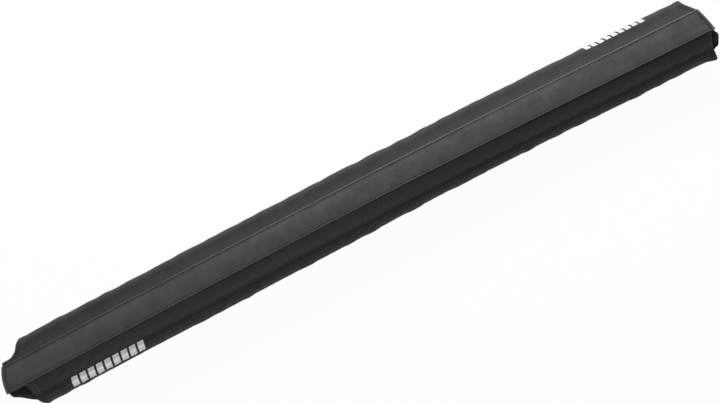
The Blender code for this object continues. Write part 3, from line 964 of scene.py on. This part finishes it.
def add_end_cup(name, end, node):
    """A cup round the foam's end: a tapering side, and a dome of rings that shrink to the middle."""
    centre_z = (POCKET_TOP + POCKET_LOW) / 2
    runs = [CAP_DEPTH * (1.0 - k / CUP_ROWS) for k in range(CUP_ROWS + 1)]
    rings = {run: pocket_ring(end * (HALF_LENGTH - run), 0.0, GATHER_COUNT) for run in runs}
    normals = {run: ring_normals(ring) for run, ring in rings.items()}
    end_ring = rings[runs[-1]]
    middle_y = (max(y for y, z in end_ring) + min(y for y, z in end_ring)) / 2
    stations = [("side", run) for run in runs] + [("dome", (k + 1) / DOME_RINGS) for k in range(DOME_RINGS)]
    turns = [k / GATHER_COUNT for k in range(GATHER_COUNT + 1)]

    def fold(turn):
        return wobble(turn * 52.0, 2.0 * end, 0.4) + 0.5 * wobble(turn * 100.0, 5.0 * end, 1.9)

    def sunk(y, z):
        """Beyond the panel's edge the cloth hangs lower, as far as the pocket is deep there."""
        beyond = clamped((abs(y) - SEAM_HALF + 0.001) / 0.006)
        share = max(0.0, (z - POCKET_LOW) / (POCKET_TOP - POCKET_LOW))
        return CUP_SINK[(side_of(y), end)] * beyond * beyond * (3.0 - 2.0 * beyond) * share

    def place(station, turn):
        kind, value = station
        k = round(turn * GATHER_COUNT)
        out = GATHER_SIZE * fold(turn) * math.sin(math.pi * min(1.0, 12.0 * min(turn, 1.0 - turn)) / 2)
        out *= min(1.0, 0.35 + 1.1 * (end_ring[k][1] - POCKET_LOW) / (POCKET_TOP - POCKET_LOW))
        if kind == "side":
            y, z = rings[value][k]
            ny, nz = normals[value][k]
            out *= math.exp(-value / GATHER_REACH)
            low = sunk(y, z) * clamped((0.024 - value) / 0.008)
            x = end * (HALF_LENGTH - value)
            return Vector((x, y + ny * out + bow(x), z + nz * out - low))
        y, z = end_ring[k]
        ny, nz = normals[runs[-1]][k]
        shrink = 1.0 - value
        ahead = 0.5 - 0.5 * math.tanh(y / 0.006)
        bulge = END_BULGE[(-1, end)] * ahead + END_BULGE[(1, end)] * (1.0 - ahead)
        low = sunk(y, z)
        out *= shrink
        y = middle_y + (y + ny * out - middle_y) * shrink
        z = centre_z + (z + nz * out - low - centre_z) * shrink
        if end > 0:
            bulge += CORNER_TAB * hump(y - CORNER_TAB_PLACE, CORNER_TAB_WIDTH)
        fullness = bulge + out * shrink
        x = end * (HALF_LENGTH + fullness * math.sqrt(max(0.0, 1.0 - shrink * shrink)))
        return Vector((x, y + bow(HALF_LENGTH), z))

    def cut(station, turn):
        kind, value = station
        run = CAP_DEPTH - value if kind == "side" else CAP_DEPTH + CUP_END * value
        return (run, turn * CUP_ROUND)

    piece = lay_cloth(name, stations, turns, place, 0.0, end_fabric, cut=cut)
    merge_tube()
    thicken(piece, CUP_CLOTH, even_walls=False)
    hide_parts(node)
    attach(piece, "root")
    return piece


add_end_cup("left_end_cup", -1, "left_end_cap")
add_end_cup("right_end_cup", 1, "right_end_cap")

# %% [markdown]
# The foam bar is a long cushion of firm foam. It starts as a flat grid too, which is rolled up into rings
# of the pocket's outline, merged into a tube and closed at both ends. Foam is full and tight, so it bulges
# only a little.

# %% The foam bar
FOAM_LET_IN = 0.0012
FOAM_GAP = 0.0004
FOAM_LEAST_GAP = 0.0003
FOAM_SWELL = 0.00015
FOAM_STEP = 0.004
FOAM_POINTS = 96


def foam_ring(x):
    """The pocket's outline, let in deeper where the end cups lie on the foam."""
    depth = FOAM_LET_IN if abs(x) > HALF_LENGTH - CAP_DEPTH else FOAM_GAP
    swell = FOAM_SWELL * wobble(x / 0.02, 4.4, 2.2)
    return pocket_ring(x, max(FOAM_LEAST_GAP, depth - swell), FOAM_POINTS)


def add_foam_bar():
    reach = HALF_LENGTH - FOAM_LET_IN
    stations = even(-reach, reach, FOAM_STEP)
    rings = {x: foam_ring(x) for x in stations}
    turns = [k / FOAM_POINTS for k in range(FOAM_POINTS + 1)]

    def place(x, turn):
        y, z = rings[x][round(turn * FOAM_POINTS)]
        return Vector((x, y + bow(x), z))

    piece = lay_cloth("foam_bar", stations, turns, place, 0.0, foam_material)
    merge_tube(close_ends=True)
    return piece


foam_bar = add_foam_bar()
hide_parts("foam_core")
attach(foam_bar, "root")

# %% [markdown]
# Under the foam lies the lining that rests on the crossbar. The two tapes of the closure lie below it, the
# hooks on the lower flap and the loops under the upper one. All three are flat strips with sewn edges. The
# lining's weave is stretched sideways on its UV map, which makes it a ribbed face that grips.

# %% Lining and tapes
STRIP_HALF = 0.010
STRIP_STEP = 0.0022
STRIP_HEM = 0.93
STRIP_PRESS = 0.35
STRIP_WAVE = 0.00010
STRIP_CLOTH_SHARE = 0.6


def add_strip(name, node, half_width_at, low, high, material):
    """A flat strip between two corners of its box, with its edges pressed a little thinner by the sewing."""
    thickness = high.z - low.z
    along = even(low.x, high.x, STRIP_STEP)
    across = [-1.0, -0.985, -0.93, -0.87] + even(-0.80, 0.80, 0.1) + [0.87, 0.93, 0.985, 1.0]

    def place(x, share):
        half = half_width_at(x, side_of(share))
        pressed = thickness * STRIP_PRESS * max(0.0, (abs(share) - STRIP_HEM) / (1.0 - STRIP_HEM))
        wave = STRIP_WAVE * wobble(x / 0.02, share, 8.0)
        return Vector((x, share * half + bow(x), high.z - pressed + min(0.0, wave)))

    def cut(x, share):
        return (x, share * STRIP_HALF)

    piece = lay_cloth(name, along, across, place, thickness * STRIP_CLOTH_SHARE, material, cut=cut)
    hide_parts(node)
    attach(piece, "root")
    return piece


def strip_half_width(x, side):
    return STRIP_HALF


lining = add_strip("pocket_lining", "pocket_base", pocket_half_width, lining_low, lining_high, grip_lining)
hook = add_strip("hook_tape", "hook_strip", strip_half_width, hook_low, hook_high, hook_tape)
loop = add_strip("loop_tape", "loop_strip", strip_half_width, loop_low, loop_high, loop_tape)

# %% [markdown]
# Sewn thread shows as rows of short stitches. One stitch is modelled from a small sphere, stretched along
# the seam and flattened, and then copied along every sewn line. The copies of one row are joined, because a
# row of stitches is one thread.

# %% One stitch, and a row of them
STITCH_LENGTH = 0.0026
STITCH_WIDTH = 0.00050
STITCH_HEIGHT = 0.00040


def stitch_model():
    """Points and faces of one stitch, which lies along X at the origin."""
    bpy.ops.mesh.primitive_uv_sphere_add(segments=6, ring_count=5, radius=0.5)
    model = bpy.context.object
    bpy.ops.object.mode_set(mode="EDIT")
    bpy.ops.mesh.select_all(action="SELECT")
    bpy.ops.transform.rotate(value=math.pi / 2, orient_axis="Y", center_override=(0.0, 0.0, 0.0))
    bpy.ops.transform.resize(value=(STITCH_LENGTH, STITCH_WIDTH, STITCH_HEIGHT))
    bpy.ops.object.mode_set(mode="OBJECT")
    points = np.array([vertex.co[:] for vertex in model.data.vertices])
    faces = [tuple(polygon.vertices) for polygon in model.data.polygons]
    bpy.data.objects.remove(model)
    return points, faces


STITCH_POINTS, STITCH_FACES = stitch_model()


def add_stitches(name, line):
    """Copies of the stitch along a line of points with normals, as one piece."""
    places = np.array([point[:] for point, normal in line])
    steps = np.linalg.norm(np.diff(places, axis=0), axis=1)
    ways = np.concatenate([[0.0], np.cumsum(steps)])
    count = max(2, int(ways[-1] / STITCH_PITCH))
    points = []
    faces = []
    for k in range(count):
        way = (k + 0.5) / count * ways[-1]
        i = min(len(line) - 2, max(0, int(np.searchsorted(ways, way)) - 1))
        share = (way - ways[i]) / max(1e-9, steps[i])
        here = line[i][0].lerp(line[i + 1][0], share)
        ahead = (line[i + 1][0] - line[i][0]).normalized()
        up = line[i][1].lerp(line[i + 1][1], share).normalized()
        across = up.cross(ahead).normalized()
        up = ahead.cross(across)
        basis = np.array([ahead, across, up])
        start = len(points) * len(STITCH_POINTS)
        points.append(STITCH_POINTS @ basis + np.array(here))
        faces += [tuple(start + index for index in face) for face in STITCH_FACES]
    mesh = bpy.data.meshes.new(name)
    mesh.from_pydata(np.concatenate(points).tolist(), [], faces)
    mesh.uv_layers.new(name="UVMap")
    for loop in mesh.loops:
        corner = mesh.vertices[loop.vertex_index].co
        mesh.uv_layers[0].data[loop.index].uv = (corner.x, corner.y + corner.z)
    mesh.materials.append(thread_material)
    mesh.shade_smooth()
    piece = bpy.data.objects.new(name, mesh)
    bpy.context.scene.collection.objects.link(piece)
    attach(piece, "root")
    print(name, count, "stitches")
    return piece


# %% [markdown]
# Thread runs all round the panel in its groove, down the hemmed ends of the flaps, and along both edges of
# the hook tape. Each line is a list of points on the cloth with the cloth's own direction outwards, so
# every stitch lies flat.

# %% The sewn lines
UP = Vector((0.0, 0.0, 1.0))
THREAD_LIFT = 0.00010
GROOVE_THREAD_LIFT = 0.00012
HEM_LINE_START = 0.003
HEM_LINE_END = 0.058
TAPE_STITCH_HALF = 0.0090
TAPE_LINE_INSET = 0.002
LONG_STEP = 0.004
SHORT_STEP = 0.002


def groove_line():
    """All round the panel, in the groove inside the rim."""
    reach = HALF_LENGTH - GROOVE_PLACE / END_RIM_SHARE
    front = GROOVE_PLACE - PANEL_HALF[-1]
    back = PANEL_HALF[1] - GROOVE_PLACE
    line = [(x, front) for x in even(-reach, reach, LONG_STEP)]
    line += [(reach, y) for y in even(front, back, SHORT_STEP)[1:]]
    line += [(-x, back) for x in even(-reach, reach, LONG_STEP)[1:]]
    line += [(-reach, -y) for y in even(-back, -front, SHORT_STEP)[1:]]
    return [(panel_point(x, y) + UP * GROOVE_THREAD_LIFT, UP) for x, y in line]


add_stitches("panel_stitches", groove_line())


def hem_line(side, end):
    """Down a flap's end, along the inner edge of its hem."""
    line = []
    for way in even(HEM_LINE_START, HEM_LINE_END, SHORT_STEP):
        x = flap_end(side, end, way) - end * HEM_STITCH
        line.append(cloth_point(side, x, way, hem_lift(HEM_STITCH) + THREAD_LIFT))
    return line


for side, where in ((-1, "front"), (1, "back")):
    for end, which in ((-1, "left"), (1, "right")):
        add_stitches(f"{where}_{which}_hem_stitches", hem_line(side, end))


def tape_line(way):
    """Along one edge of the hook tape, on the front flap."""
    line = []
    for x in even(hook_low.x + TAPE_LINE_INSET, hook_high.x - TAPE_LINE_INSET, LONG_STEP):
        point, normal = cloth_point(-1, x, way)
        line.append((point + UP * THREAD_LIFT, normal))
    return line


tape_middle = WAY_AROUND[-1] - LAP_HALF
add_stitches("hook_tape_outer_stitches", tape_line(tape_middle - TAPE_STITCH_HALF))
add_stitches("hook_tape_inner_stitches", tape_line(tape_middle + TAPE_STITCH_HALF))

# %% [markdown]
# Pads like this carry a light print on both flaps that shines back in headlights. Here it is a plain row of
# slanted bars. Each bar is a thin film that follows the ripples of the cloth, so it is laid on the same
# cloth function, a hair above the weave. The back print gets a darker copy of the print material, as painted
# shade for a film that shines back less when it is lit from behind.

# %% The reflective bars
BAR_COUNT = 9
BAR_SLANT = 0.0030
BAR_GAP_SHARE = 0.26
BAR_UPPER_WAY = 0.0164
BAR_LOWER_WAY = 0.0280
PRINT_LIFT = 0.00009
PRINT_FILM = 0.00006
PRINT_STEP = 0.0006
PRINTS = (
    ("front_print", -1, -0.3285, -0.2465, bright_print),
    # The back print takes the darker copy, as painted shade.
    ("back_print", 1, 0.263, 0.334, painted_shade_print),
)


def add_print(name, side, start, stop, material):
    pitch = (stop - start - BAR_SLANT) / BAR_COUNT
    bars = []
    for k in range(BAR_COUNT):
        left = start + pitch * k
        width = pitch * (1.0 - BAR_GAP_SHARE)

        def place(x, way, left=left):
            slant = BAR_SLANT * (BAR_LOWER_WAY - way) / (BAR_LOWER_WAY - BAR_UPPER_WAY)
            return cloth_point(side, left + x + slant, way, PRINT_LIFT)[0]

        along = even(0.0, width, PRINT_STEP)
        across = even(BAR_UPPER_WAY, BAR_LOWER_WAY, PRINT_STEP)
        bar = lay_cloth(f"{name}_{k + 1}", along, across, place, PRINT_FILM, material, flip=side < 0)
        bars.append(bar)
    bpy.ops.object.select_all(action="DESELECT")
    for bar in bars:
        bar.select_set(True)
    bpy.context.view_layer.objects.active = bars[0]
    bpy.ops.object.join()
    piece = bpy.context.object
    piece.name = name
    piece.data.name = name
    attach(piece, "root")
    return piece


for print_settings in PRINTS:
    add_print(*print_settings)
